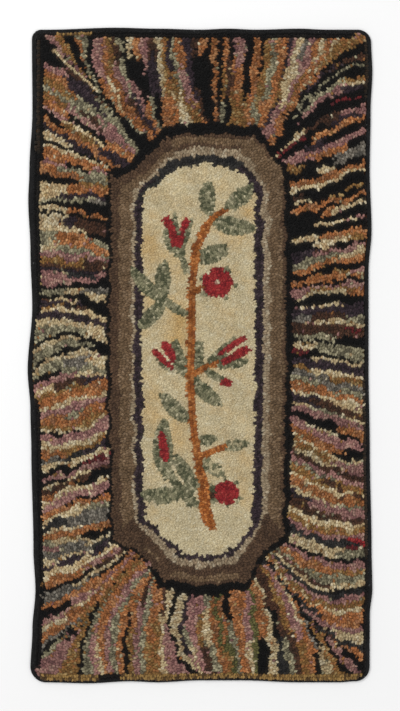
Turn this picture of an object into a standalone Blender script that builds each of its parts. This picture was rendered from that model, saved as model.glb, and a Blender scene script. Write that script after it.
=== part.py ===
"""Hooked rug: wool loops on a hessian foundation, with black tape folded over its edge.

Metres, +Z up. The rug lies flat with its face up. The origin is under its middle, on the floor.
+X runs across the rug and +Y along it, towards the end where the flower stem ends.
"""

import math

import bmesh
import bpy

# Driving sizes of the rug as a plain rounded rectangle, before its edges wander
RUG_WIDTH = 0.560
RUG_LENGTH = 1.080
HALF_WIDTH = RUG_WIDTH / 2
HALF_LENGTH = RUG_LENGTH / 2

# Cloth sizes
GAP = 0.0003
TAPE_THICKNESS = 0.0010
TAPE_BACK = 0.0200
FOUNDATION_THICKNESS = 0.0012
PILE_HEIGHT = 0.0068
PILE_ROUNDING = 0.0035
PILE_UNEVENNESS = 0.0005
RIM_STEP = 0.0060

# Heights that follow from the cloth sizes. The tape's back lies under the foundation's rim and lifts it.
RIM_LIFT = TAPE_THICKNESS + GAP
RIM_TOP = RIM_LIFT + FOUNDATION_THICKNESS
TAPE_TOP = RIM_TOP + GAP + TAPE_THICKNESS
RIM_END = TAPE_BACK + GAP
FLAT_INSET = RIM_END + RIM_STEP

# Insets at which the pile's face is sampled, from behind its rim towards the rug's middle
FACE_INSETS = (0.0550, 0.1200, 0.1900, 0.2500)

# How the outlines are sampled
SIDE_STEP = 0.030
ARC_STEPS = 3
LEAST_RADIUS = 0.003

# The four edges anticlockwise. Each runs from the corner before it to its own corner.
# (name, own corner's direction in X and Y, own corner's radius, width of the tape on the face)
SIDES = (
    ("right", (1, 1), 0.022, 0.0075),
    ("top", (-1, 1), 0.016, 0.0060),
    ("left", (-1, -1), 0.026, 0.0080),
    ("bottom", (1, -1), 0.024, 0.0045),
)

# How far each edge stands out from the plain rectangle: (place along the edge, outward offset)
LEFT_EDGE = (
    (-0.520, 0.0005),
    (-0.453, -0.0028),
    (-0.387, -0.0078),
    (-0.321, -0.0045),
    (-0.156, -0.0010),
    (-0.090, 0.0005),
    (-0.024, 0.0050),
    (0.080, -0.0025),
    (0.175, 0.0005),
    (0.257, 0.0040),
    (0.306, 0.0022),
    (0.405, -0.0028),
    (0.520, -0.0020),
)
RIGHT_EDGE = (
    (-0.520, 0.0005),
    (-0.430, 0.0008),
    (-0.387, 0.0050),
    (-0.321, 0.0037),
    (-0.156, 0.0008),
    (-0.024, -0.0012),
    (0.141, -0.0012),
    (0.207, 0.0037),
    (0.306, 0.0006),
    (0.405, 0.0021),
    (0.471, 0.0050),
    (0.520, 0.0030),
)
TOP_EDGE = (
    (-0.254, -0.0013),
    (-0.140, 0.0020),
    (-0.069, 0.0004),
    (0.000, -0.0013),
    (0.046, 0.0004),
    (0.092, -0.0013),
    (0.162, 0.0004),
    (0.208, -0.0013),
)
BOTTOM_EDGE = (
    (-0.254, 0.0004),
    (-0.185, 0.0020),
    (-0.116, -0.0013),
    (-0.069, 0.0004),
    (0.000, -0.0029),
    (0.069, -0.0029),
    (0.162, 0.0004),
    (0.231, 0.0004),
    (0.254, -0.0013),
)

# Colours and finishes: (red, green, blue), roughness
HESSIAN = ((0.36, 0.25, 0.13), 0.95)
WOOL = ((0.27, 0.17, 0.11), 0.92)
BLACK_TAPE = ((0.012, 0.012, 0.011), 0.85)


def smooth_table(table, place):
    """The offset at a place, eased between the table's rows."""
    if place <= table[0][0]:
        return table[0][1]
    for (before, low), (after, high) in zip(table, table[1:]):
        if place <= after:
            share = (place - before) / (after - before)
            return low + (high - low) * share * share * (3 - 2 * share)
    return table[-1][1]


def uneven(x, y):
    """A point of the plain rectangle, moved to where it lies in the rug as made."""
    across = smooth_table(RIGHT_EDGE if x > 0 else LEFT_EDGE, y)
    along = smooth_table(TOP_EDGE if y > 0 else BOTTOM_EDGE, x)
    return x * (1 + across / HALF_WIDTH), y * (1 + along / HALF_LENGTH)


def all_round(inset):
    """The same inset on the four sides."""
    return (inset,) * len(SIDES)


def tape_front(beyond):
    """Insets at a distance beyond the tape's front edge, which is wider on some sides than on others."""
    return tuple(width + beyond for _, _, _, width in SIDES)


def corner_arc(side, insets, first, last):
    """Points of a side's own corner between two shares of its quarter turn, 0 to 1, anticlockwise."""
    _, (towards_x, towards_y), radius, _ = SIDES[side]
    own, following = insets[side], insets[(side + 1) % len(SIDES)]
    inset_x, inset_y = (own, following) if side % 2 == 0 else (following, own)
    radius = max(radius - (inset_x + inset_y) / 2, LEAST_RADIUS)
    middle_x = towards_x * (HALF_WIDTH - inset_x - radius)
    middle_y = towards_y * (HALF_LENGTH - inset_y - radius)
    points = []
    for step in range(ARC_STEPS + 1):
        share = first + (last - first) * step / ARC_STEPS
        angle = (side + share) * math.pi / 2
        points.append((middle_x + radius * math.cos(angle), middle_y + radius * math.sin(angle)))
    return points


def side_line(side, insets):
    """A side's points at the insets, from the middle of one corner to the middle of the next."""
    before = corner_arc(side - 1, insets, 0.5, 1.0)
    after = corner_arc(side, insets, 0.0, 0.5)
    (x0, y0), (x1, y1) = before[-1], after[0]
    whole = RUG_LENGTH if side % 2 == 0 else RUG_WIDTH
    steps = round(whole / SIDE_STEP)
    run = [(x0 + (x1 - x0) * i / steps, y0 + (y1 - y0) * i / steps) for i in range(1, steps)]
    return [uneven(x, y) for x, y in before + run + after]


def outline(insets):
    """The rug's whole outline at the insets, anticlockwise. Every outline has the same number of points."""
    points = []
    for side in range(len(SIDES)):
        points += side_line(side, insets)[:-1]
    return points


def material(name, look):
    """A plain material of one colour and roughness."""
    colour, roughness = look
    made = bpy.data.materials.new(name)
    made.use_nodes = True
    shader = made.node_tree.nodes["Principled BSDF"]
    shader.inputs["Base Color"].default_value = (*colour, 1.0)
    shader.inputs["Roughness"].default_value = roughness
    shader.inputs["Metallic"].default_value = 0.0
    made.diffuse_color = (*colour, 1.0)
    return made


def add_object(name, made, look_material):
    """An object in the scene from a bmesh, with its faces turned outwards."""
    bmesh.ops.recalc_face_normals(made, faces=made.faces)
    mesh = bpy.data.meshes.new(name)
    made.to_mesh(mesh)
    made.free()
    mesh.materials.append(look_material)
    bpy.context.scene.collection.objects.link(bpy.data.objects.new(name, mesh))


def bridge(made, line, next_line, closed):
    """Four-sided faces between two lines of as many points."""
    count = len(line)
    for i in range(count if closed else count - 1):
        j = (i + 1) % count
        made.faces.new((line[i], line[j], next_line[j], next_line[i]))


def slab(rings):
    """A closed solid through rings, from the middle of its underside, round its rim, to the middle of its top.

    Each ring is (insets, height), and the height is a number or a function of x and y.
    """
    made = bmesh.new()
    loops = []
    for insets, height in rings:
        points = [(x, y, height(x, y) if callable(height) else height) for x, y in outline(insets)]
        loops.append([made.verts.new(point) for point in points])
    for loop, next_loop in zip(loops, loops[1:]):
        bridge(made, loop, next_loop, closed=True)
    made.faces.new(loops[0])
    made.faces.new(loops[-1])
    return made


def build_foundation(look_material):
    """The hessian sheet: flat on the floor, its rim lifted over the back of the tape."""
    edge = all_round(TAPE_THICKNESS + 2 * GAP)
    made = slab(
        (
            (all_round(FLAT_INSET), 0.0),
            (all_round(RIM_END), RIM_LIFT),
            (edge, RIM_LIFT),
            (edge, RIM_TOP),
            (all_round(RIM_END), RIM_TOP),
            (all_round(FLAT_INSET), FOUNDATION_THICKNESS),
        )
    )
    add_object("foundation", made, look_material)


def face_height(level):
    """The height of the pile's face, which rises and falls a little over the length of a hand."""

    def height(x, y):
        swell = math.sin(31 * x + 9 * y + 0.7) + math.sin(13 * y - 22 * x + 2.1) + math.sin(41 * y + 5 * x)
        return level + PILE_UNEVENNESS * swell / 3

    return height


def build_pile(look_material):
    """The hooked wool: a slab of even height on the foundation, with a rounded rim inside the tape."""
    rim_floor = RIM_TOP + GAP
    middle_floor = FOUNDATION_THICKNESS + GAP
    rim_face = rim_floor + PILE_HEIGHT
    rings = [
        (all_round(FLAT_INSET), middle_floor),
        (all_round(RIM_END), rim_floor),
        (tape_front(GAP), rim_floor),
        (tape_front(GAP), rim_face - PILE_ROUNDING),
        (tape_front(GAP + 0.3 * PILE_ROUNDING), rim_face - 0.3 * PILE_ROUNDING),
        (tape_front(GAP + PILE_ROUNDING), face_height(rim_face)),
        (all_round(RIM_END), face_height(rim_face)),
    ]
    rings += [(all_round(inset), face_height(middle_floor + PILE_HEIGHT)) for inset in FACE_INSETS]
    add_object("pile", slab(rings), look_material)


def tape_section():
    """The tape's section, folded round the foundation's edge: (insets, height) in order round it."""
    fold = TAPE_THICKNESS + GAP
    under_front = RIM_TOP + GAP
    return (
        (all_round(TAPE_BACK), 0.0),
        (all_round(fold), 0.0),
        (all_round(0.2 * fold), 0.2 * TAPE_TOP),
        (all_round(0.0), 0.5 * TAPE_TOP),
        (all_round(0.2 * fold), 0.8 * TAPE_TOP),
        (all_round(fold), TAPE_TOP),
        (tape_front(0.0), TAPE_TOP),
        (tape_front(0.0), under_front),
        (all_round(fold), under_front),
        (all_round(fold), TAPE_THICKNESS),
        (all_round(TAPE_BACK), TAPE_THICKNESS),
    )


def drawn_in(end, neighbour):
    """A line's end, moved towards its neighbour so that two lengths of tape lie a gap apart."""
    share = GAP / math.dist(end, neighbour)
    return end[0] + (neighbour[0] - end[0]) * share, end[1] + (neighbour[1] - end[1]) * share


def build_binding(side, look_material):
    """One length of tape along a side, from corner to corner."""
    made = bmesh.new()
    lines = []
    for insets, height in tape_section():
        points = side_line(side, insets)
        points = [drawn_in(points[0], points[1]), *points[1:-1], drawn_in(points[-1], points[-2])]
        lines.append([made.verts.new((x, y, height)) for x, y in points])
    for line, next_line in zip(lines, lines[1:] + lines[:1]):
        bridge(made, line, next_line, closed=False)
    made.faces.new([line[0] for line in lines])
    made.faces.new([line[-1] for line in lines])
    add_object("binding_" + SIDES[side][0], made, look_material)


def main():
    for old in list(bpy.data.objects):
        bpy.data.objects.remove(old)
    build_foundation(material("hessian", HESSIAN))
    build_pile(material("wool", WOOL))
    tape = material("black_tape", BLACK_TAPE)
    for side in range(len(SIDES)):
        build_binding(side, tape)


main()
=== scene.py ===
"""Hooked rug, dressed: every loop of wool, the hessian under them, and the black tape sewn round the edge.

Metres, +Z up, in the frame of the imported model. The design is laid out in chart units, which count to the
right and down from the chart's top left corner. Each loop of wool is placed in them, then made as a mesh.
"""

import math

import bmesh
import bpy
import numpy as np
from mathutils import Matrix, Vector, kdtree


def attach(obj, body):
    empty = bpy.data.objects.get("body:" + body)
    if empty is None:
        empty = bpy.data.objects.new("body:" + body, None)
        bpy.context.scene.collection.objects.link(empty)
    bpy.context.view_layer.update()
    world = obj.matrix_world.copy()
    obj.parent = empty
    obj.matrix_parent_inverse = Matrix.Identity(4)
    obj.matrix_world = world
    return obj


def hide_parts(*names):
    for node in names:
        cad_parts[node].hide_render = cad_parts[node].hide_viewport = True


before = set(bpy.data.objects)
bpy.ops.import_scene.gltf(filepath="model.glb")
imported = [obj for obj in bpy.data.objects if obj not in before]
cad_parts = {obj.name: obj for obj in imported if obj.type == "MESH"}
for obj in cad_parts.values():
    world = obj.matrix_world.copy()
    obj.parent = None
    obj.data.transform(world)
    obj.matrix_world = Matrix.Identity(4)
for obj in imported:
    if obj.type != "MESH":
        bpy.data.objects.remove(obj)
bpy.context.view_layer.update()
RANDOM = np.random.default_rng(20)

# Sizes that the model's source has too
HALF_WIDTH = 0.280
HALF_LENGTH = 0.540
GAP = 0.0003
TAPE_THICKNESS = 0.0010
TAPE_BACK = 0.0200
FOUNDATION_THICKNESS = 0.0012
PILE_HEIGHT = 0.0068
PILE_ROUNDING = 0.0035
PILE_UNEVENNESS = 0.0005
RIM_STEP = 0.0060
RIM_LIFT = TAPE_THICKNESS + GAP
RIM_TOP = RIM_LIFT + FOUNDATION_THICKNESS
TAPE_TOP = RIM_TOP + GAP + TAPE_THICKNESS
RIM_END = TAPE_BACK + GAP
FLAT_INSET = RIM_END + RIM_STEP

# The corners' least radius, and how much less it is at the tape's front edge than at the rug's edge
LEAST_RADIUS = 0.003
RADIUS_CUT = 0.0065

# The four edges anticlockwise: name, own corner's direction, own corner's radius, width of the tape's face
SIDES = (
    ("right", (1, 1), 0.022, 0.0075),
    ("top", (-1, 1), 0.016, 0.0060),
    ("left", (-1, -1), 0.026, 0.0080),
    ("bottom", (1, -1), 0.024, 0.0045),
)

# How far each edge stands out from the plain rectangle, in millimetres: places along it, offsets
LEFT_EDGE = (
    (-520, -453, -387, -321, -156, -90, -24, 80, 175, 257, 306, 405, 520),
    (0.5, -2.8, -7.8, -4.5, -1.0, 0.5, 5.0, -2.5, 0.5, 4.0, 2.2, -2.8, -2.0),
)
RIGHT_EDGE = (
    (-520, -430, -387, -321, -156, -24, 141, 207, 306, 405, 471, 520),
    (0.5, 0.8, 5.0, 3.7, 0.8, -1.2, -1.2, 3.7, 0.6, 2.1, 5.0, 3.0),
)
TOP_EDGE = ((-254, -140, -69, 0, 46, 92, 162, 208), (-1.3, 2.0, 0.4, -1.3, 0.4, -1.3, 0.4, -1.3))
BOTTOM_EDGE = (
    (-254, -185, -116, -69, 0, 69, 162, 231, 254),
    (0.4, 2.0, -1.3, 0.4, -2.9, -2.9, 0.4, 0.4, -1.3),
)

# The chart: metres for one unit, the unit that lies at the rug's middle, and its whole size
UNIT = 0.00165
MIDDLE = (200.0, 355.5)
CHART_SIZE = (400, 711)

# Camera and light
CAMERA_DISTANCE = 3.0
PILE_TOP = 0.008
SENSOR = 36.0

# Loops: spacing along a row and between rows in chart units, for the border and for the finer middle
BORDER_PITCH = (2.25, 3.2)
FIELD_PITCH = (2.0, 2.8)
SAMPLE_STEP = 1.3

# How closely loops may be placed: rows that fan out, closed rows, and the loops that fill what is left
FAN_EASE = 0.55
ROW_EASE = 0.8
FILLER_EASE = 0.62
FINE_FILLER_EASE = 0.72
FILLER_STEP = 1.2
FILLER_JITTER = 0.5
CELL_SIZE = 4.5

# How loops are evened out: rounds, loops looked at, the spacing aimed at, the share of each push that is
# made, and the share of that for the spray. Then the jitter that they get, in chart units.
RELAXING_ROUNDS = 12
NEIGHBOURS = 7
SPACING = 1.02
PUSH = 0.34
FIRM_SHARE = 0.35
JITTER = 0.2

# Least distances from the tape in chart units: when a loop is placed, and when it is moved
PLACING_INSET = 1.2
MOVING_INSET = 1.35
SLOPE_STEP = 0.5

# A loop of wool strip: shares of its half length, of its height, and of its half width
ALONG = np.array((-1.12, -0.95, 0.0, 0.95, 1.12))
UP = np.array((0.0, 0.68, 1.0, 0.68, 0.0))
WIDE = np.array((0.7, 0.85, 1.0, 0.85, 0.7))
ACROSS = np.array((-1.22, -0.5, 0.5, 1.22))
EDGE_DROP = np.array((1.0, 0.0, 0.0, 1.0))
DROP_SHARE = np.array((0.0, 0.9, 1.0, 0.9, 0.0))
# Painted shade: a loop's colour is darker towards its feet and its side edges, where the pile shades it
PAINTED_SHADE_UP = np.array((0.6, 0.9, 1.0, 0.9, 0.6))
PAINTED_SHADE_ACROSS = np.array((0.8, 1.0, 1.0, 0.8))
DROP = 0.0026
FINE_DROP = 0.0018
LINES = len(ALONG)
POINTS = 4 * LINES
ENDS_SHORTER = 0.14

# Shares of its spacing that a loop fills along and across its row, in the border and in the finer middle,
# and how far loops turn from their row's direction
LOOP_SPREAD = (1.2, 1.2)
FINE_SPREAD = (1.35, 1.3)
LOOP_TWIST = 0.42

# How single loops differ: in height, with its limits and the finer loops' share of it, in length, in width,
# in lean, in the height of the lowest points, in skew with the share that shows, and in roughness
HEIGHT_SPREAD = 0.00035
HEIGHT_LIMITS = (-0.0008, 0.0006)
FINE_SHARE = 0.6
LENGTHS = (0.85, 1.18)
WIDTHS = (0.8, 1.15)
LEAN = 0.0004
BOTTOMS = (0.00002, 0.0004)
SKEW = 0.25
SKEW_SHARE = 0.6
ROUGHNESS = 0.00012
ROUGH_FROM = 0.002

# How uneven the wool's colour is within a loop of each zone
UNEVEN_WOOL = {"field": 0.12, "spray": 0.2, "bands": 0.13}
UNEVEN_BORDER = 0.15

# The matted wool between the loops: grid steps across and along, how far it lies under the pile's face in
# the border and in the finer middle, its roughness, its margin inside the tape in chart units, and its
# painted shade in each zone, which darkens it in the creases between the loops
GROUND_STEPS = (138, 270)
GROUND_DEPTH = 0.0030
FINE_GROUND_DEPTH = 0.0022
GROUND_ROUGHNESS = 0.0002
GROUND_MARGIN = 1.0
GROUND_PAINTED_SHADES = {"field": 0.84, "spray": 0.76, "bands": 0.74}
BORDER_GROUND_PAINTED_SHADE = 0.56

# How far the stripes' and bands' edges wander from the chart, in chart units, by slow and by quick waves
WARP = (1.7, 0.9)
WARP_WAVES = (26, 9)
BAND_WARP_SHARE = 0.7

# The bands' rows are a little wider towards the cream: the power to which their share of the way is raised
BAND_EASE = 0.88

# Wool colours as display values. Each wool is a mix of strips: (colour, share)
WOOLS = {
    "k": (((9, 8, 8), 0.8), ((18, 16, 15), 0.2)),
    "c": (((218, 196, 152), 0.5), ((194, 166, 124), 0.28), ((236, 220, 184), 0.22)),
    "s": (((156, 148, 118), 0.45), ((114, 107, 86), 0.28), ((188, 179, 146), 0.27)),
    "g": (((124, 116, 104), 0.5), ((92, 88, 80), 0.25), ((158, 150, 136), 0.25)),
    "l": (((58, 56, 54), 0.6), ((38, 38, 38), 0.4)),
    "p": (((176, 129, 120), 0.5), ((142, 99, 96), 0.3), ((194, 154, 138), 0.2)),
    "o": (((187, 120, 71), 0.4), ((148, 94, 53), 0.25), ((206, 148, 98), 0.2), ((168, 118, 83), 0.15)),
    "h": (((154, 114, 64), 0.35), ((132, 96, 52), 0.3), ((172, 116, 68), 0.2), ((178, 148, 98), 0.15)),
    "b": (((90, 60, 44), 0.6), ((66, 46, 35), 0.4)),
    "w": (((58, 45, 33), 0.6), ((40, 34, 26), 0.4)),
    "u": (((60, 47, 54), 0.6), ((42, 34, 38), 0.25), ((80, 66, 70), 0.15)),
    "r": (((122, 42, 44), 0.7), ((96, 40, 44), 0.3)),
    "v": (((116, 112, 66), 0.6), ((94, 92, 54), 0.4)),
    "e": (((186, 166, 136), 0.5), ((166, 144, 116), 0.35), ((204, 188, 160), 0.15)),
    "d": (((136, 110, 82), 0.5), ((120, 96, 70), 0.3), ((150, 124, 96), 0.2)),
    "D": (((105, 80, 60), 0.6), ((89, 67, 51), 0.4)),
    "f": (((232, 216, 176), 0.6), ((226, 209, 167), 0.25), ((238, 225, 189), 0.15)),
    "F": (((230, 194, 131), 0.6), ((223, 186, 124), 0.4)),
    "L": (((140, 137, 106), 0.43), ((94, 97, 71), 0.26), ((172, 166, 132), 0.22), ((202, 193, 158), 0.09)),
    "P": (((190, 180, 142), 0.5), ((132, 131, 100), 0.2), ((208, 194, 154), 0.3)),
    "R": (((170, 50, 52), 0.6), ((136, 36, 42), 0.25), ((184, 70, 66), 0.15)),
    "W": (((216, 196, 166), 0.7), ((196, 150, 132), 0.3)),
    "S": (((178, 105, 48), 0.45), ((148, 82, 38), 0.3), ((206, 136, 76), 0.25)),
    "T": (((176, 140, 82), 0.5), ((140, 108, 62), 0.3), ((90, 68, 42), 0.2)),
}

# The share of the wools' light that is left under the lamps, and how much neighbours bleed into each other
LIGHT_SHARE = 0.66
BLEED = 0.06
BLEED_NEIGHBOURS = 6

# How far the shade varies: from loop to loop in the cream and elsewhere, slowly over the rug, along the stem
CREAM_SPREAD = 0.05
WOOL_SPREAD = 0.14
SLOW_SPREAD = 0.06
STEM_SPREAD = 0.16

# The border's sides: shade of each, limits of a stripe's own shade, and the share of loops from stray strips
ZONE_SHADES = {"left": 0.98, "right": 0.99, "top": 0.91, "bottom": 0.98}
STRIPE_SHADES = (0.86, 1.13)
STRAY_SHARE = 0.035
STRAYS = "cpshh"

# The octagon round the middle, and where the border's rows end on it: (place, across, down)
LEFT_INNER = (
    (134.0, 140, 152), (153.6, 125, 165), (172.0, 108, 172), (358.0, 106.6, 358),
    (545.0, 110, 545), (560.5, 125, 549), (577.5, 140, 557),
)
RIGHT_INNER = (
    (140.0, 271, 145), (152.0, 278, 155), (164.0, 285, 165), (175.0, 291, 175),
    (355.0, 293, 355), (540.0, 290, 540), (548.6, 283, 545), (562.5, 270, 550), (569.0, 265, 556),
)
TOP_INNER = (
    (130.6, 143, 152), (145.6, 152, 140), (162.0, 162, 127), (200.0, 200, 121.5),
    (262.0, 262, 127), (276.3, 268, 140), (288.5, 275, 150),
)
BOTTOM_INNER = (
    (124.0, 140, 557), (131.0, 145, 562), (145.8, 152, 575), (157.0, 157, 585), (200.0, 200, 596.5),
    (250.0, 250, 590), (265.8, 255, 575), (282.4, 262, 560), (286.0, 264, 557),
)

# The border's stripes in order along a side. Each is where it starts at its outer end, half way and at its
# inner end, then its wools in those three thirds. A stripe runs to the start of the next.
LEFT_STRIPES = """
38 84 134 kbs/60 88 135 pus/64 98 136 ous/72 104 137 hsp/80 113 138 sbp/84 119 139 hpp/92 124 141 oko
99 130 144 pco/104 134 147 khu/112 139 151 oou/119 144 156 uuo/124 148 160 cuo/135 151 165 kkk
141 153 166 ccc/145 157 168 ooo/156 164 172 pkp/162 168 176 oss/168 172 180 oos/174 179 184 kkh
181 186 188 coo/193 193 196 cuu/199 198 200 ssg/203 202 205 kkk/206 208 219 coo/210 213 225 kkk
213 216 228 cub/224 227 238 cck/231 232 242 sos/238 240 248 soo/243 247 256 css/248 252 260 ppp
255 260 265 hhb/261 266 267 bbb/266 269 270 uuu/270 273 274 plp/275 278 276 ppp/286 284 279 kkk
289 288 287 scg/296 295 293 kkc/299 298 301 bck/302 301 308 uuk/307 307 314 hbk/309 309 320 ccc
312 313 325 uuu/320 319 331 ccc/331 326 338 ssc/343 332 344 kkk/347 336 348 cck/353 340 350 ssk
364 347 353 kkk/368 351 356 ccc/373 356 360 sgc/380 367 370 kss/383 372 373 ppc/391 378 377 cbu
397 386 380 hho/403 390 384 ooo/408 399 391 ccc/413 404 394 ppp/419 411 399 oso/422 418 402 ooo
424 424 407 hhh/427 429 413 ccc/431 433 415 kkp/433 435 417 ppp/439 442 427 ccc/449 448 431 ohh
458 454 439 glu/465 459 446 ccc/472 465 452 kkr/478 470 456 ppp/484 476 463 kcb/489 478 467 cbk
492 482 472 bok/496 487 476 occ/505 492 481 cpp/510 496 485 ppp/515 501 491 okk/518 503 494 ooo
523 508 500 ccs/528 515 507 lgg/533 526 517 ccg/536 529 520 ooo/542 536 527 sck/546 543 532 pgc
552 548 537 ggl/560 553 541 ccu/571 557 545 uuu/574 562 549 ccc/583 569 552 oop/591 576 557 kkb
593 580 560 gcc/599 583 563 ggk/606 586 566 ooo/613 592 570 kpp/620 598 572 pco/627 601 573 coo
634 607 575 ooo/645 611 576 gho/650 614 577 khh/656 616 577 shh/664 617 577 pkh/672 618 577.5 pkh
"""
RIGHT_STRIPES = """
50 74 140 kkk/55 77 140.5 buk/60 81 141 kkk/62 85.5 142 ssk/65 88.5 143 kkk/76 93 144 hsk
81 97 145 cpk/85 101 146 upk/90 105 148 kkk/98 108 149 rkk
100 110 150 kkk/105 119 151 pbc/111 125 152 ukr/114 131 153 ook/119 138 154 kuk/125 147 155 ppp
131 152 158 kop/140 158 161 gkh/155 166 172 kck/157 173 182 ooo/163 180 188 ccc/166 184 193 kkk
176 190 195 kkb/180 196 201 hkc/184 199 205 kok/190 201 208 ooo/195 206 214 kkk/199 209 218 cok
201 216 222 kkk/213 222 226 pck/217 226 233 kkk/226 233 238 ooc/232 239 244 hck/238 246 254 kbu
242 249 258 ppu/249 254 265 css/254 260 272 ooo/261 266 278 kkk/266 273 282 pho/271 275 284 coo
274 277 286 ooo/279 281 288 kkk/283 284 291 ppp/288 286 296 hhp/292 290 301 occ/299 294 303 kkk
304 303 309 ucc/306 306 311 uuu/318 312 318 sbg/322 319 326 ccb/327 325 329 bbb/331 328 331 rbb
334 333 334 bss/338 339 339 kkk/350 343 343 ssc/357 349 346 ssc/363 354 349 kkr/365 358 353 cck
367 363 356 uuu/376 370 363 cch/379 375 368 hgg/387 382 374 ggs/393 388 381 soo/399 392 385 ooo
405 396 389 ccc/416 400 394 bbu/421 411 400 csc/424 415 403 ppp/431 422 410 okk/440 430 413 kcp
444 433 416 ppp/451 443 422 koo/458 450 428 koo/461 454 431 ccc/463 457 435 phh/470 462 440 pcc
476 466 445 bbb/483 472 450 ppp/489 478 455 hss/493 482 460 hbh/497 487 470 bcc/500 491 474 ooo
508 501 482 scc/509 504 487 ppu/513 509 494 ppb/518 515 500 bbb/522 521 504 ccc/527 527 510 hhh
533 534 517 ppp/539 540 525 lll/546 545 534 rcc/549 549 537 scc/558 556 541 kkk/561 560 543 ppp
567 566 547 hoo/572 574 554 sss/580 581 557 cbb/585 584.5 558.5 kcc/587 589 561 lll/590 594 562 ppp
596 599 564 hhh/604 604 566 ccc/609 608 567 ooo/616 612 567.5 oll/624 617 568 ppp/631 620 568 ckk
644 622 568.5 llk/655 623 568.5 obk/662 624 569 khk/672 625 569 khk
"""
TOP_STRIPES = """
40 97 131 kkk/44 97.5 132 pkk/52 98 132 hkk/62 98.5 133 kkk/73 99 134 osk/77 99.5 135 ssk
86 100.5 137 kkk/93 103 143 pos/101 106 144 poo/105 110 147 oco/109 114 149 hoo/114 120 150 bpb/118 126 151 ssu
121 131 152 kpu/123 137 154 cko/133 141 156 oko/141 144 158 pks/149 149 160 buk/155 160 163 cco
160 164 172 hho/165 170 182 uhc/170 176 194 ssh/175 180 198 oph/183 189 204 uuo/193 194 207 bkb
200 198 209 okk/206 203 211 kkk/210 213 213 ooo/219 217 216 kkb/222 222 219 ohs/230 227 224 kbk
235 233 228 poh/246 243 240 kkh/256 250 245 ooo/262 257 249 khs/265 261 252 hhs/274 266 255 sso
279 273 259 ooo/287 280 263 uhu/292 283.5 266 pcp/296 285.5 269 ccp/304 291 272 gpp/309 295 275 pho
318 298.5 277 ooo/324 301 279 coo/329 303 281 oco/336 304 282.5 coo/341 305 284 hoo/364 306 285 hoo
"""
BOTTOM_STRIPES = """
53 90 124 psk/59 91 124 hhh/79 92 125 kkh/84 95 126 ssh/92 98.5 129 poo/98 101.5 131 coo/104 105 133 oop
109 109 135 ppp/113 114 137 sss/119 119 140 ooo/126 127 142 kko/129 131 143 hoo/134 135 145 ppb
140 141 148 sss/145 147 152 hoo/152 153 157 hho/162 160 164 ccb/168 164 168 ppc/188 169 176 kkk
196 172 183 ccc/200 179 192 puu/202 184 194 csp/205 190 197 ppp/210 197 202 bhp/216 203 206 scs
222 212 210 ooo/228 218 214 hvv/234 223 218 voo/240 229 222 ssk/243 235 229 ooo/250 244 246 cpp
254 252 252 vvv/258 257 256 koo/267 268 265 ccc/280 271.5 269 lkb/289 276 273 sbb/298 280.5 278 bhh
302 288 281 hpp/309 296 283 occ/313 299.5 284 ooo/316 302.5 284.5 kgo/322 304 285 ckk
334 305 285.3 hkk/344 306 285.5 kll/351 306.5 285.7 pll/362 307 286 pll
"""

# The border's four families: where their rows start, which way the side runs, and its tables
BORDER = (
    (37.0, "down", LEFT_INNER, LEFT_STRIPES),
    (365.0, "down", RIGHT_INNER, RIGHT_STRIPES),
    (35.0, "across", TOP_INNER, TOP_STRIPES),
    (672.0, "across", BOTTOM_INNER, BOTTOM_STRIPES),
)
START_SHARE = -0.04

# The bands round the middle: points of the cream's outline and of the octagon, and the wools of the rows
# from the first to the second, clockwise from the lower left
LEFT_BANDS = "uueddddDDDk"
TOP_BANDS = "lleeDddDkkk"
RIGHT_BANDS = "uueeddddDkk"
BOTTOM_BANDS = "ueeDDddDkkk"
BANDS = (
    ((144, 500), (110, 543), LEFT_BANDS),
    ((142, 352), (106.6, 355), LEFT_BANDS),
    ((143, 200), (108, 172), "lueddDDDkkk"),
    ((148, 191), (125, 165), "lueddDDDkkk"),
    ((158, 185), (140, 152), "lleddDDDkkk"),
    ((168, 174), (152, 140), "lleddDDDkkk"),
    ((182, 166.5), (163, 127), TOP_BANDS),
    ((203, 164.5), (200, 121.5), TOP_BANDS),
    ((224, 166), (262, 127), "lleeddddDkk"),
    ((239, 171), (268, 140), "uueeddddDkk"),
    ((246, 178), (277, 153), "uueddddddkk"),
    ((252, 187), (285, 165), "uueddddddkk"),
    ((254.5, 199), (291, 176), RIGHT_BANDS),
    ((255, 352), (292.7, 355), RIGHT_BANDS),
    ((253.5, 500), (289, 541), "uueDDDDDDkk"),
    ((251.5, 518), (279, 547), "uueDDDDDDkk"),
    ((247.5, 533), (266, 556), "ueeDDDDDDkk"),
    ((239, 544), (256, 573), "ueeDDDDDDkk"),
    ((224, 553), (249, 591), BOTTOM_BANDS),
    ((202, 556), (200, 596.5), BOTTOM_BANDS),
    ((184, 553.5), (158, 588), "ueeDDDDDDkk"),
    ((172, 544), (151, 573), "ueeDDDdDDDk"),
    ((159, 532), (140, 557), "ueeDDDDDDDk"),
    ((148, 521), (124, 549), "uueDDDDDDDk"),
)

# Warmer patches in the cream middle: across, down, radius across, radius down, strength
PATCHES = (
    (178, 325, 12, 24, 0.95), (150, 245, 14, 22, 0.55), (248, 208, 9, 14, 0.7), (176, 268, 10, 18, 0.5),
    (178, 432, 12, 26, 0.5), (150, 410, 12, 22, 0.45), (205, 375, 10, 10, 0.5), (206, 478, 10, 12, 0.4),
    (246, 480, 10, 40, 0.3), (150, 300, 8, 10, 0.6), (230, 240, 14, 12, 0.3), (200, 532, 46, 24, -0.3),
)

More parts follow.
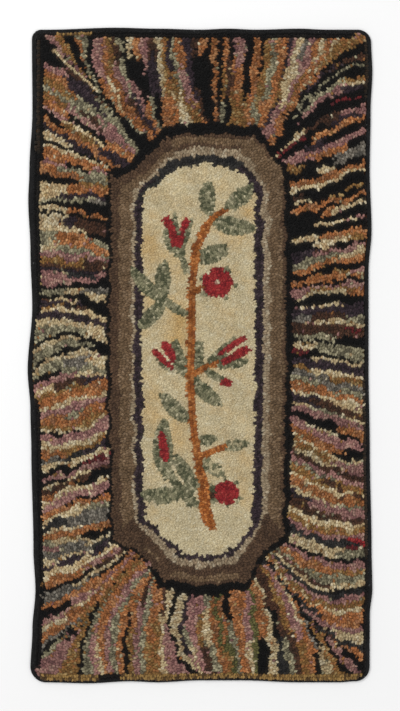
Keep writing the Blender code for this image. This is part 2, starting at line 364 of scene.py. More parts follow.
# The spray, drawn as strokes over the cream. A leaf is (tip, tip, width, wool); a stroke is (wool, knots)
# with each knot (across, down, width). Later ones lie over earlier ones.
LEAVES = (
    ((209, 182), (209, 216), 15.5, "L"),
    ((226, 207.5), (252.5, 186), 16.5, "L"),
    ((212.5, 220), (253, 228), 18, "L"),
    ((196, 258.5), (226.5, 247.5), 18, "L"),
    ((164.5, 262), (164, 299), 15.5, "L"),
    ((132, 269), (163, 300), 13.5, "L"),
    ((139, 327), (164, 300), 15, "L"),
    ((163, 298), (188, 315), 9, "L"),
    ((175, 342), (187, 378), 13, "L"),
    ((200, 341), (196, 379), 14, "L"),
    ((195, 381), (220.5, 404), 15, "L"),
    ((162, 394.5), (190, 421), 15, "L"),
    ((177, 457), (194, 483), 13, "L"),
    ((143, 494), (184, 494), 16.5, "L"),
    ((180, 494), (199, 480), 12, "L"),
    ((180, 487), (198, 507), 11, "L"),
    ((199, 440), (217, 438.5), 11, "L"),
    ((221, 445.5), (246.5, 443.5), 11, "L"),
    ((224, 445.3), (243, 444), 6.5, "P"),
    ((202, 458), (224, 475.5), 12.5, "L"),
    ((204.5, 460), (221, 473), 8, "P"),
    ((164, 422.5), (167, 478), 20, "L"),
    ((166, 228), (178, 256), 11, "L"),
    ((191, 220), (179, 256), 10, "L"),
    ((174, 213), (179, 238), 6, "L"),
    ((208, 362), (236, 338), 10, "L"),
    ((209, 364), (247, 361), 10, "L"),
    ((156, 356), (174, 372), 6, "L"),
    ((205, 369), (226, 381), 7.5, "L"),
    ((208, 484), (217, 492), 7, "L"),
    ((208, 503), (217, 497), 7, "L"),
)
STROKES = (
    ("L", ((181, 250, 6), (183.5, 262, 6), (187, 272, 5))),
    ("L", ((166, 468, 8), (173, 479, 8), (181, 490, 7))),
    ("R", ((154, 350, 5), (162, 359, 6), (171.5, 368, 4))),
    ("R", ((165, 344.5, 8), (169, 352, 9), (174, 361, 5))),
    ("R", ((219, 355, 4), (231, 347, 6), (243.5, 338, 7))),
    ("R", ((222, 363, 4), (235, 356, 7), (246, 350, 9))),
    ("R", ((166.5, 220, 9), (172, 229, 7.5), (175, 244, 6.5))),
    ("R", ((186.5, 221.5, 6.5), (182, 231, 4.5), (179.5, 245, 4.5))),
    ("R", ((161.5, 434, 6), (163, 444, 8.5), (165.5, 459, 6.5))),
    ("R", ((224.5, 383, 7.6), (228.0, 383, 8.0))),
    ("S", ((194, 292.5, 6), (199, 289.5, 5), (204, 285, 5))),
    ("S", ((194, 374, 6), (204, 368, 5), (218, 363.5, 4))),
    ("S", ((197, 458, 7), (210, 452.5, 6), (224.5, 447, 5))),
    ("b", ((206, 495.5, 7), (216, 495.5, 6))),
    (
        "S",
        (
            (226.5, 209.5, 3), (213.6, 216.4, 4), (207.8, 223, 6.5), (203, 233.4, 8.5), (196.6, 246.5, 9),
            (193.4, 267, 8), (191.4, 292, 7.5), (191, 330, 8), (190, 364, 8), (189.5, 384, 7.5),
            (191.7, 412, 7.5), (193, 432, 7.5), (196, 449, 8), (198.5, 467, 8), (203, 482, 9.5),
            (205, 507, 11.5), (208, 520, 11), (213, 528, 6),
        ),
    ),
)

# Roses: middle, radius, lobes, depth of the lobes, turn, radius of the pale eye, sepals (across, down, size)
ROSES = (
    (
        (217.2, 282.5), 15.4, 5, 0.07, -0.38, 2.8,
        ((201.5, 278, 5), (226.5, 270, 8), (234.8, 285.8, 5), (225, 297, 6), (204.5, 293.5, 5)),
    ),
    (
        (226.8, 492.8), 12.4, 5, 0.09, 1.3, 0.0,
        ((225.3, 480, 4), (237, 483.5, 5), (238.6, 499.8, 5.5), (227.6, 506.4, 4)),
    ),
)

# Single rows along the edge of the pile: wool, start, end, width
EDGE_ROWS = (
    ("k", (42.4, 44), (42.0, 160), 3.6),
    ("w", (37.6, 40), (37.2, 156), 5.4),
    ("k", (36.0, 156), (36.0, 312), 8.0),
    ("k", (33.6, 402), (36.0, 440), 8.4),
    ("k", (36.0, 440), (35.6, 664), 8.6),
    ("w", (367.0, 44), (366.4, 96), 4.0),
    ("w", (366.0, 380), (366.6, 560), 3.2),
    ("k", (366.6, 560), (366.0, 664), 4.4),
    ("c", (53.0, 49.4), (74.0, 70.0), 2.8),
    ("c", (74.0, 70.0), (98.0, 91.5), 2.8),
    ("R", (351.0, 540.5), (363.0, 543.0), 5.2),
    ("k", (42, 33), (58, 33), 3.4),
    ("T", (58, 34), (94, 33.5), 2.4),
    ("k", (94, 34.3), (352, 34.8), 6.0),
    ("T", (42, 677.6), (101, 677.6), 6.0),
    ("k", (101, 677.6), (123, 677.6), 6.4),
    ("T", (123, 677.6), (360, 677.2), 6.0),
)


def smooth(table, place):
    """Offsets in metres at places in metres, eased between a table's rows."""
    places, offsets = (np.array(row) / 1000 for row in table)
    place = np.clip(place, places[0], places[-1])
    after = np.clip(np.searchsorted(places, place), 1, len(places) - 1)
    share = (place - places[after - 1]) / (places[after] - places[after - 1])
    eased = share * share * (3 - 2 * share)
    return offsets[after - 1] + (offsets[after] - offsets[after - 1]) * eased


def stretch(x, y):
    """How much wider and longer the rug as made is than the plain rectangle at a place."""
    across = np.where(x > 0, smooth(RIGHT_EDGE, y), smooth(LEFT_EDGE, y))
    along = np.where(y > 0, smooth(TOP_EDGE, x), smooth(BOTTOM_EDGE, x))
    return 1 + across / HALF_WIDTH, 1 + along / HALF_LENGTH


def edge_distance(x, y, tape_shares):
    """How far inside the rug's outline points lie, or inside the tape's face where tape_shares is 1."""
    wide, long = stretch(x, y)
    x, y = x / wide, y / long
    right, top, left, bottom = (side[3] * tape_shares for side in SIDES)
    inside_x = np.where(x > 0, HALF_WIDTH - right - x, HALF_WIDTH - left + x)
    inside_y = np.where(y > 0, HALF_LENGTH - top - y, HALF_LENGTH - bottom + y)
    radius = np.zeros_like(x)
    for _, (to_x, to_y), own, _ in SIDES:
        radius[(np.sign(x) == to_x) & (np.sign(y) == to_y)] = own
    radius = np.maximum(radius - RADIUS_CUT * tape_shares, LEAST_RADIUS)
    rounded = radius - np.hypot(np.maximum(radius - inside_x, 0), np.maximum(radius - inside_y, 0))
    return np.where((inside_x < radius) & (inside_y < radius), rounded, np.minimum(inside_x, inside_y))


def to_metres(points):
    """Chart points as x and y in metres."""
    return (points[..., 0] - MIDDLE[0]) * UNIT, (MIDDLE[1] - points[..., 1]) * UNIT


def pile_inset(points):
    """How far inside the pile's edge chart points lie, in chart units."""
    x, y = to_metres(points)
    return edge_distance(x, y, 1.0) / UNIT


def linear(colour):
    """A display colour as scene values."""
    colour = np.asarray(colour, dtype=float) / 255
    return np.where(colour <= 0.04045, colour / 12.92, ((colour + 0.055) / 1.055) ** 2.4)


def side_curve(start, runs, inner, ends):
    """The curve of a row in a border family, as its three points."""
    outer_place, middle_place, inner_place = ends
    places, across, down = np.array(inner).T
    last = np.array((np.interp(inner_place, places, across), np.interp(inner_place, places, down)))
    if runs == "down":
        first = np.array((start, outer_place))
        middle = np.array(((start + last[0]) / 2, middle_place))
    else:
        first = np.array((outer_place, start))
        middle = np.array((middle_place, (start + last[1]) / 2))
    return first, middle, last


def on_curve(curve, share):
    """Points and directions of the curve through three points at shares of its way."""
    share = np.asarray(share)[..., None]
    first, middle, last = curve
    point = first * (1 - share) * (1 - 2 * share) + 4 * middle * share * (1 - share)
    point = point + last * share * (2 * share - 1)
    way = first * (4 * share - 3) + 4 * middle * (1 - 2 * share) + last * (4 * share - 1)
    return point, way / np.maximum(np.linalg.norm(way, axis=-1, keepdims=True), 1e-6)


def read_stripes(text):
    """Stripe starts as an array of three places a row, and each stripe's wools."""
    entries = [entry.split() for entry in text.replace("\n", "/").split("/") if entry]
    starts = np.array([[float(value) for value in entry[:3]] for entry in entries])
    return np.maximum.accumulate(starts, axis=0), [entry[3] for entry in entries]


class Chart:
    """Dense samples of the design, each with a place, direction, wool and shade, and the rows' loops."""

    def __init__(self):
        self.places, self.ways, self.wools, self.shades, self.zones = [], [], [], [], []
        self.rows = []

    def add(self, points, ways, wools, shade, zone):
        """Adds samples of one zone and shade."""
        self.places.append(points)
        self.ways.append(ways)
        self.wools.extend(wools)
        self.shades.append(np.full(len(points), shade))
        self.zones.extend([zone] * len(points))

    def close(self):
        """Joins the samples into arrays, when all have been added."""
        self.places = np.concatenate(self.places)
        self.ways = np.concatenate(self.ways)
        self.shades = np.concatenate(self.shades)
        self.wools = np.array(self.wools)
        self.zones = np.array(self.zones)


def spaced(curve_points, pitch):
    """Shares of the way at which loops lie along a line of points, from a random start."""
    steps = np.linalg.norm(np.diff(curve_points, axis=0), axis=1)
    length = np.concatenate(([0.0], np.cumsum(steps)))
    count = max(1, int(length[-1] / pitch))
    places = (np.arange(count) + RANDOM.uniform(0.2, 0.8)) / count * length[-1]
    return np.interp(places, length, np.linspace(0, 1, len(length)))


def third_of(shares, turns, wools):
    """The wool at each share of a stripe, with the turns from one wool to the next."""
    return [wools[0] if share < turns[0] else wools[1] if share < turns[1] else wools[2] for share in shares]


def chart_border(chart, zone, start, runs, inner, text):
    """Adds one side of the border: stripes of rows from its outer edge to the octagon."""
    starts, wools = read_stripes(text)
    shares = np.linspace(START_SHARE, 1.0, 75)
    for first_ends, last_ends, stripe_wools in zip(starts, starts[1:], wools):
        width = np.max(last_ends - first_ends)
        turns = np.array((RANDOM.uniform(0.22, 0.46), RANDOM.uniform(0.56, 0.8)))
        tapers = RANDOM.uniform(-0.22, 0.22, 2)
        shade = ZONE_SHADES[zone] * RANDOM.uniform(*STRIPE_SHADES)
        lines = max(2, math.ceil(width / SAMPLE_STEP))
        for part in (np.arange(lines) + 0.5) / lines:
            curve = side_curve(start, runs, inner, first_ends + (last_ends - first_ends) * part)
            points, ways = on_curve(curve, shares)
            row_turns = turns + tapers * (abs(2 * part - 1) - 0.5) + RANDOM.uniform(-0.05, 0.05)
            chart.add(points, ways, third_of(shares, row_turns, stripe_wools), shade, zone)
        rows = max(1, round(width / BORDER_PITCH[1]))
        for part in (np.arange(rows) + 0.5) / rows:
            curve = side_curve(start, runs, inner, first_ends + (last_ends - first_ends) * part)
            line, _ = on_curve(curve, shares)
            places = START_SHARE + (1 - START_SHARE) * spaced(line, BORDER_PITCH[0])
            points, ways = on_curve(curve, places)
            chart.rows.append((points, ways, BORDER_PITCH, FAN_EASE))


def band_line(share):
    """A closed line of the bands at a share of the way from cream to octagon, with its side's index."""
    first = np.array([band[0] for band in BANDS], dtype=float)
    last = np.array([band[1] for band in BANDS], dtype=float)
    knots = first + (last - first) * share
    knots = np.vstack((knots, knots[:1]))
    lengths = np.linalg.norm(np.diff(knots, axis=0), axis=1)
    points, sides = [], []
    for side, (before, after) in enumerate(zip(knots, knots[1:])):
        count = max(1, round(lengths[side] / SAMPLE_STEP))
        part = (np.arange(count) / count)[:, None]
        points.append(before + (after - before) * part)
        sides.append(np.full(count, side))
    return np.concatenate(points), np.concatenate(sides)


def chart_bands(chart):
    """Adds the bands between the cream middle and the octagon, as closed rows."""
    rows = len(BANDS[0][2])
    for line in range(rows * 3):
        share = ((line + 0.5) / (rows * 3)) ** BAND_EASE
        points, sides = band_line(share)
        ways = np.roll(points, -1, axis=0) - np.roll(points, 1, axis=0)
        ways /= np.linalg.norm(ways, axis=1, keepdims=True)
        wools = [BANDS[side][2][line // 3] for side in sides]
        chart.add(points, ways, wools, 1.0, "bands")
        if line % 3 == 1:
            closed = np.vstack((points, points[:1]))
            places = spaced(closed, BORDER_PITCH[0]) * len(points)
            at = np.minimum(places.astype(int), len(points) - 1)
            chart.rows.append((points[at], ways[at], BORDER_PITCH, ROW_EASE))


def inside_outline(points, which):
    """Which chart points lie inside the cream's outline, 0, or inside the octagon, 1."""
    outline = np.array([band[which] for band in BANDS], dtype=float)
    inside = np.zeros(len(points), dtype=bool)
    for (x0, y0), (x1, y1) in zip(outline, np.roll(outline, -1, axis=0)):
        crosses = (y0 > points[:, 1]) != (y1 > points[:, 1])
        with np.errstate(divide="ignore", invalid="ignore"):
            at = x0 + (points[:, 1] - y0) * (x1 - x0) / (y1 - y0)
        inside ^= crosses & (points[:, 0] < at)
    return inside


def wander(points, seed, size):
    """A smooth random value of about -1 to 1 at each point, from a few waves of a size in chart units."""
    draw = np.random.default_rng(seed)
    value = np.zeros(len(points))
    for _ in range(7):
        angle = draw.uniform(0, 2 * math.pi)
        pace = 2 * math.pi / (size * draw.uniform(0.6, 1.6))
        value += np.sin(points @ np.array((math.cos(angle), math.sin(angle))) * pace + draw.uniform(0, 6.28))
    return value / 2.6


def chart_cream(chart):
    """Adds the cream middle, whose rows meander."""
    across, down = np.meshgrid(np.arange(140, 258, SAMPLE_STEP), np.arange(160, 560, SAMPLE_STEP))
    points = np.stack((across.ravel(), down.ravel()), axis=1)
    points = points[inside_outline(points, 0)]
    angle = 0.5 * math.pi + 1.1 * wander(points, 3, 26) + 0.6 * wander(points, 4, 9)
    ways = np.stack((np.cos(angle), np.sin(angle)), axis=1)
    chart.add(points, ways, ["f"] * len(points), 1.0, "field")


def warmth(points):
    """How warm the cream is at each point, 0 to 1."""
    warm = 0.1 + 0.14 * wander(points, 5, 30) + 0.1 * wander(points, 6, 11)
    for x, y, wide, high, strength in PATCHES:
        warm += strength * np.exp(-(((points[:, 0] - x) / wide) ** 2) - ((points[:, 1] - y) / high) ** 2)
    return np.clip(warm, 0, 1)


def leaf_knots(first, last, width):
    """The knots of a leaf: a stroke that swells between its tips and bows a little."""
    first, last = np.array(first, dtype=float), np.array(last, dtype=float)
    shares = np.linspace(0, 1, 9)
    way = last - first
    bow = np.array((-way[1], way[0])) * 0.05
    middles = first + way * shares[:, None] + bow * (4 * shares * (1 - shares))[:, None]
    widths = width * np.sin(math.pi * (0.06 + 0.88 * shares)) ** 0.75
    return [(*middle, wide) for middle, wide in zip(middles, widths)]


def all_strokes():
    """Every stroke drawn over the rows: wool and knots, in the order in which they are laid."""
    strokes = []
    for wool, first, last, width in EDGE_ROWS:
        strokes.append((wool, [(*first, width), (*last, width)], "edge"))
    for first, last, width, wool in LEAVES:
        strokes.append((wool, leaf_knots(first, last, width), "spray"))
    for _, _, _, _, _, _, sepals in ROSES:
        strokes += [("L", [(x, y, size), (x + 0.5, y, size)], "spray") for x, y, size in sepals]
    strokes += [(wool, list(knots), "spray") for wool, knots in STROKES]
    return strokes


def draw_stroke(points, knots):
    """Which points a stroke covers, and its direction at them."""
    covered = np.zeros(len(points), dtype=bool)
    ways = np.zeros_like(points)
    best = np.full(len(points), np.inf)
    for before, after in zip(knots, knots[1:]):
        start, way = np.array(before[:2]), np.array(after[:2]) - np.array(before[:2])
        share = np.clip((points - start) @ way / max(way @ way, 1e-9), 0, 1)
        apart = np.linalg.norm(points - start - share[:, None] * way, axis=1)
        half = (before[2] + (after[2] - before[2]) * share) / 2
        nearer = (apart < half) & (apart < best)
        covered |= apart < half
        best[nearer] = apart[nearer]
        ways[nearer] = way / np.linalg.norm(way)
    return covered, ways


def draw_rose(points, rose):
    """Which points a rose covers, which of them are its eye, and the direction round its middle."""
    middle, radius, lobes, depth, turn, eye, _ = rose
    offset = points - np.array(middle)
    apart = np.linalg.norm(offset, axis=1)
    angle = np.arctan2(offset[:, 1], offset[:, 0])
    edge = radius * (1 - 2 * depth + 2 * depth * np.abs(np.cos(lobes / 2 * (angle - turn))))
    ways = np.stack((-offset[:, 1], offset[:, 0]), axis=1) / np.maximum(apart, 1e-6)[:, None]
    return apart < edge, apart < eye, ways


def stroke_rows():
    """The rows of loops that fill the spray and the edge rows, in the order in which they are placed."""
    rows = []
    for rose in ROSES:
        middle, radius = rose[0], rose[1]
        for ring in np.arange(radius - 1.7, 1.0, -3.1):
            count = max(3, round(2 * math.pi * ring / FIELD_PITCH[0]))
            angle = np.arange(count) * 2 * math.pi / count
            points = np.stack((middle[0] + ring * np.cos(angle), middle[1] + ring * np.sin(angle)), axis=1)
            rows.append((points, np.stack((-np.sin(angle), np.cos(angle)), axis=1), FIELD_PITCH, ROW_EASE))
    for _, knots, zone in reversed(all_strokes()):
        pitch = BORDER_PITCH if zone == "edge" else FIELD_PITCH
        knots = np.array(knots, dtype=float)
        shares = spaced(knots[:, :2], pitch[0]) * (len(knots) - 1)
        at = [np.interp(shares, np.arange(len(knots)), knots[:, column]) for column in range(3)]
        middles, widths = np.stack(at[:2], axis=1), at[2]
        ways = np.gradient(middles, axis=0) if len(middles) > 1 else np.array([knots[1, :2] - knots[0, :2]])
        ways = ways / np.maximum(np.linalg.norm(ways, axis=1, keepdims=True), 1e-6)
        beside = np.stack((-ways[:, 1], ways[:, 0]), axis=1)
        widest = float(np.max(widths))
        count = max(1, round(widest / pitch[1]))
        for line in range(count):
            share = (line + 0.5) / count - 0.5
            points = middles + beside * (share * widths)[:, None]
            rows.append((points, ways, (pitch[0], min(pitch[1], widest)), ROW_EASE))
    return rows


def accept(rows):
    """Places loops row by row, leaving out those that would crowd one already placed."""
    grid = {}
    kept = []

    def crowded(x, y, along, across, ease):
        cell_x, cell_y = int(x // CELL_SIZE), int(y // CELL_SIZE)
        for i in range(cell_x - 1, cell_x + 2):
            for j in range(cell_y - 1, cell_y + 2):
                for other_x, other_y, way_x, way_y, other_along, other_across in grid.get((i, j), ()):
                    dx, dy = x - other_x, y - other_y
                    forward = (dx * way_x + dy * way_y) / (other_along + along)
                    aside = (dy * way_x - dx * way_y) / (other_across + across)
                    if forward * forward + aside * aside < ease:
                        return True
        return False

    for points, ways, (along, across), ease in rows:
        for (x, y), (way_x, way_y) in zip(points.tolist(), ways.tolist()):
            if not crowded(x, y, along, across, 0.25 * ease):
                loop = (x, y, way_x, way_y, along, across)
                grid.setdefault((int(x // CELL_SIZE), int(y // CELL_SIZE)), []).append(loop)
                kept.append(loop)
    return np.array(kept)


def nearest(tree, points):
    """The number of the tree's point that lies nearest to each point."""
    return np.array([tree.find((x, y, 0.0))[1] for x, y in points.tolist()])


def neighbours(tree, points, count):
    """The numbers of the tree's points that lie nearest to each point, the nearest first."""
    return np.array([[hit[1] for hit in tree.find_n((x, y, 0.0), count)] for x, y in points.tolist()])


def sample_tree(places):
    """A search tree of chart points."""
    tree = kdtree.KDTree(len(places))
    for index, (x, y) in enumerate(places.tolist()):
        tree.insert((x, y, 0.0), index)
    tree.balance()
    return tree


def relax(loops, firm):
    """Evens out the spacing: loops that crowd each other move apart, the spray's the least."""
    points, ways = loops[:, :2].copy(), loops[:, 2:4]
    pitch = loops[:, 4:6]
    beside = np.stack((-ways[:, 1], ways[:, 0]), axis=1)
    for _ in range(RELAXING_ROUNDS):
        found = neighbours(sample_tree(points), points, NEIGHBOURS)[:, 1:]
        apart = points[:, None, :] - points[found]
        reach = (pitch[:, None, :] + pitch[found]) / 2
        along = np.einsum("ijk,ik->ij", apart, ways) / reach[..., 0]
        across = np.einsum("ijk,ik->ij", apart, beside) / reach[..., 1]
        far = np.maximum(np.hypot(along, across), 1e-3)
        push = np.maximum(SPACING - far, 0) / far * PUSH
        move = (push * along * reach[..., 0]).sum(axis=1)[:, None] * ways
        move += (push * across * reach[..., 1]).sum(axis=1)[:, None] * beside
        points += move * np.where(firm, FIRM_SHARE, 1.0)[:, None]
        keep_inside(points)
    return points


def keep_inside(points):
    """Moves loops back that lie too close to the tape."""
    inset = pile_inset(points)
    out = inset < MOVING_INSET
    if not out.any():
        return
    part = points[out]
    slope_x = (pile_inset(part + (SLOPE_STEP, 0)) - inset[out]) / SLOPE_STEP
    slope_y = (pile_inset(part + (0, SLOPE_STEP)) - inset[out]) / SLOPE_STEP
    slope = np.stack((slope_x, slope_y), axis=1)
    slope /= np.maximum(np.linalg.norm(slope, axis=1, keepdims=True), 1e-6)
    points[out] = part + slope * (MOVING_INSET - inset[out])[:, None]


def filler_rows(chart, tree):
    """Places for loops wherever a gap is left between the rows, in a close jittered grid."""
    across, down = np.meshgrid(np.arange(33, 368, FILLER_STEP), np.arange(30, 682, FILLER_STEP))
    points = np.stack((across.ravel(), down.ravel()), axis=1)
    points += RANDOM.uniform(-FILLER_JITTER, FILLER_JITTER, points.shape)
    points = points[pile_inset(points) > PLACING_INSET]
    points = points[RANDOM.permutation(len(points))]
    found = nearest(tree, points)
    ways = chart.ways[found]
    fine = chart.zones[found] == "field"
    return [
        (points[~fine], ways[~fine], BORDER_PITCH, FILLER_EASE),
        (points[fine], ways[fine], FIELD_PITCH, FINE_FILLER_EASE),
    ]


def bleed(points, colours):
    """Colours with a little of their neighbours' in them, as old wool's fibres mix at the loops' edges."""
    near = neighbours(sample_tree(points), points, BLEED_NEIGHBOURS)
    return colours * (1 - BLEED) + colours[near].mean(axis=1) * BLEED


def pick_wool(letters, draw):
    """A colour for each letter from the mix of strips that it stands for."""
    colours = np.zeros((len(letters), 3))
    for letter, mix in WOOLS.items():
        own = letters == letter
        if not own.any():
            continue
        edges = np.cumsum([share for _, share in mix])
        picked = np.minimum(np.searchsorted(edges, draw[own]), len(mix) - 1)
        colours[own] = np.array([linear(colour) for colour, _ in mix])[picked]
    return colours


def chart_warp(points):
    """Small steps from each point to where the chart is read, so that the stripes and bands are uneven."""
    (slow, quick), (slow_waves, quick_waves) = WARP, WARP_WAVES
    across = slow * wander(points, 11, slow_waves) + quick * wander(points, 12, quick_waves)
    down = slow * wander(points, 13, slow_waves) + quick * wander(points, 14, quick_waves)
    steps = np.stack((across, down), axis=1)
    return steps * np.where(inside_outline(points, 1), BAND_WARP_SHARE, 1.0)[:, None]


def unwarp(points):
    """Where points of the chart come to lie in the uneven design."""
    moved = points - chart_warp(points)
    return points - chart_warp(moved)


def design_at(chart, tree, points, warp):
    """The zone, wool, direction and shade of the design at each point."""
    found = nearest(tree, points + warp)
    letters, ways = chart.wools[found].copy(), chart.ways[found].copy()
    zones, shades = chart.zones[found].copy(), chart.shades[found].copy()
    for wool, knots, zone in all_strokes():
        covered, stroke_ways = draw_stroke(points, knots)
        letters[covered], zones[covered], shades[covered] = wool, zone, 1.0
        ways[covered] = stroke_ways[covered]
    for rose in ROSES:
        covered, eye, round_ways = draw_rose(points, rose)
        letters[covered], zones[covered], shades[covered] = "R", "spray", 1.0
        letters[eye] = "W"
        ways[covered] = round_ways[covered]
    return zones, letters, ways, shades


def draw_chart():
    """The whole design as a chart of samples and rows."""
    chart = Chart()
    for zone, family in zip(("left", "right", "top", "bottom"), BORDER):
        chart_border(chart, zone, *family)
    chart_bands(chart)
    chart_cream(chart)
    chart.close()
    return chart


def place_loops(chart, tree):
    """Places the loops: the spray's first, then the bands', then the border's, then what fills the gaps."""
    rows = []
    for points, ways, pitch, ease in chart.rows:
        points = unwarp(points)
        inside = (pile_inset(points) > PLACING_INSET) & ~inside_outline(points, 0)
        rows.append((points[inside], ways[inside], pitch, ease))
    return accept([*stroke_rows(), *reversed(rows), *filler_rows(chart, tree)])


def dye(points, letters, shades):
    """Each loop's colour: its wool's, warmer in the cream's patches, and a little uneven."""
    colours = pick_wool(letters, RANDOM.random(len(points)))
    cream = letters == "f"
    golden = pick_wool(np.where(cream, "F", ""), RANDOM.random(len(points)))
    share = (warmth(points) * cream)[:, None]
    colours = colours * (1 - share) + golden * share
    spread = np.where(cream, CREAM_SPREAD, WOOL_SPREAD)
    colours *= (shades * (1 + spread * RANDOM.uniform(-1, 1, len(points))))[:, None]
    colours *= LIGHT_SHARE * (1 + SLOW_SPREAD * wander(points, 9, 30))[:, None]
    stem = letters == "S"
    colours[stem] *= (1 + STEM_SPREAD * wander(points[stem], 15, 22))[:, None]
    return bleed(points, colours)


def lay_loops():
    """All loops of the rug: places, directions, sizes, colours and zones."""
    chart = draw_chart()
    tree = sample_tree(chart.places)
    loops = place_loops(chart, tree)
    zones, letters, ways, shades = design_at(chart, tree, loops[:, :2], chart_warp(loops[:, :2]))
    loops[:, 2:4] = ways
    points = relax(loops, zones == "spray")
    points += RANDOM.normal(0, JITTER, points.shape)
    border = ~inside_outline(points, 1) & (zones != "edge") & ~np.isin(letters, ("k", "u"))
    stray = border & (RANDOM.random(len(points)) < STRAY_SHARE)
    letters[stray] = RANDOM.choice(list(STRAYS), stray.sum())
    return points, ways, loops[:, 4:6], dye(points, letters, shades), zones


def loop_template():
    """The faces of one loop as vertex numbers, and the place of each of their corners in its baking cell."""
    faces, corners = [], []
    for i in range(LINES - 1):
        for j in range(3):
            faces.append((4 * i + j, 4 * i + j + 1, 4 * i + j + 5, 4 * i + j + 4))
            spots = ((i, j), (i, j + 1), (i + 1, j + 1), (i + 1, j))
            corners.append([(0.06 + 0.7 * a / (LINES - 1), 0.06 + 0.88 * b / 3) for a, b in spots])
    faces.append((1, POINTS - 3, POINTS - 2, 2))
    corners.append([(0.82, 0.06), (0.94, 0.06), (0.94, 0.94), (0.82, 0.94)])
    return np.array(faces), np.array(corners)


def rim_lift(inset):
    """How far the back of the tape lifts what lies at an inset from the rug's edge."""
    return RIM_LIFT * np.clip((FLAT_INSET - inset) / RIM_STEP, 0, 1)


def face_height(x, y):
    """The height of the pile's face, which swells a little and is rounded off along the tape."""
    lift = rim_lift(edge_distance(x, y, 0.0))
    inset = edge_distance(x, y, 1.0)
    swell = np.sin(31 * x + 9 * y + 0.7) + np.sin(13 * y - 22 * x + 2.1) + np.sin(41 * y + 5 * x)
    top = lift + FOUNDATION_THICKNESS + GAP + PILE_HEIGHT + PILE_UNEVENNESS * swell / 3
    rounding = np.clip(1 - (inset - 0.0015) / PILE_ROUNDING, 0, 1)
    return top - 0.6 * PILE_ROUNDING * rounding**2


def loop_points(points, ways, pitch):
    """The vertices of all loops as an array of loops, vertices and coordinates."""
    count = len(points)
    x, y = to_metres(points)
    top = face_height(x, y)
    fine = pitch[:, 0] < BORDER_PITCH[0]
    top += np.clip(RANDOM.normal(0, HEIGHT_SPREAD, count), *HEIGHT_LIMITS) * np.where(fine, FINE_SHARE, 1.0)
    twist = LOOP_TWIST * np.minimum(BORDER_PITCH[1] / pitch[:, 1], 1) ** 1.5
    turn = np.arctan2(-ways[:, 1], ways[:, 0]) + RANDOM.normal(0, 1, count) * twist
    longer, wider = (np.where(fine, FINE_SPREAD[i], LOOP_SPREAD[i]) for i in range(2))
    half_length = pitch[:, 0] * UNIT / 2 * longer * RANDOM.uniform(*LENGTHS, count)
    half_width = pitch[:, 1] * UNIT / 2 * wider * RANDOM.uniform(*WIDTHS, count)
    lean = RANDOM.normal(0, LEAN, (count, 2))
    bottom = rim_lift(edge_distance(x, y, 0.0)) + RANDOM.uniform(*BOTTOMS, count)
    skew = RANDOM.normal(0, SKEW, count)
    rise = UP[None, :, None]
    along = (half_length[:, None] * ALONG)[:, :, None] * (1 - ENDS_SHORTER * EDGE_DROP)[None, None, :]
    across = (half_width[:, None] * ACROSS)[:, None, :] * WIDE[None, :, None]
    along = along + skew[:, None, None] * across * rise * SKEW_SHARE
    up = bottom[:, None, None] + (top - bottom)[:, None, None] * rise
    drop = np.where(fine, FINE_DROP, DROP)[:, None, None]
    up = up - drop * DROP_SHARE[None, :, None] * EDGE_DROP[None, None, :]
    cosine, sine = np.cos(turn)[:, None, None], np.sin(turn)[:, None, None]
    out_x = x[:, None, None] + along * cosine - across * sine + lean[:, 0, None, None] * rise
    out_y = y[:, None, None] + along * sine + across * cosine + lean[:, 1, None, None] * rise
    made = np.stack((out_x, out_y, up), axis=-1)
    made += RANDOM.normal(0, ROUGHNESS, made.shape) * (made[..., 2:] > ROUGH_FROM)
    return made.reshape(count, POINTS, 3)


def loops_mesh(zone, vertices, colours):
    """An object of the loops of a zone, with their colours and baking coordinates."""
    name = "loops_" + zone
    count = len(vertices)
    faces, corners = loop_template()
    numbers = (faces[None] + POINTS * np.arange(count)[:, None, None]).astype(np.int32)
    mesh = bpy.data.meshes.new(name)
    mesh.vertices.add(POINTS * count)
    mesh.vertices.foreach_set("co", vertices.astype(np.float32).ravel())
    mesh.loops.add(numbers.size)
    mesh.loops.foreach_set("vertex_index", numbers.ravel())
    mesh.polygons.add(len(faces) * count)
    mesh.polygons.foreach_set("loop_start", np.arange(0, numbers.size, 4, dtype=np.int32))
    mesh.polygons.foreach_set("loop_total", np.full(len(faces) * count, 4, dtype=np.int32))
    mesh.polygons.foreach_set("use_smooth", np.ones(len(faces) * count, dtype=bool))
    mesh.update(calc_edges=True)
    uneven = UNEVEN_WOOL.get(zone, UNEVEN_BORDER)
    # Painted shade: each vertex's colour darkened towards the loop's feet and side edges, times the wool's
    # random unevenness
    shade = np.outer(PAINTED_SHADE_UP, PAINTED_SHADE_ACROSS).ravel()[None, :, None]
    shade = shade * (1 + uneven * RANDOM.uniform(-1, 1, (count, POINTS, 1)))
    tinted = np.concatenate((colours[:, None, :] * shade, np.ones((count, POINTS, 1))), axis=2)
    mesh.attributes.new("wool_colour_and_painted_shade", "FLOAT_COLOR", "POINT").data.foreach_set(
        "color", np.clip(tinted, 0, 1).astype(np.float32).ravel()
    )
    cells = math.ceil(math.sqrt(count))
    cell = np.stack((np.arange(count) % cells, np.arange(count) // cells), axis=1)
    layer = (cell[:, None, None, :] + corners[None]) / cells
    mesh.uv_layers.new(name="OFBake").data.foreach_set("uv", layer.astype(np.float32).ravel())
    return add_piece(name, mesh)


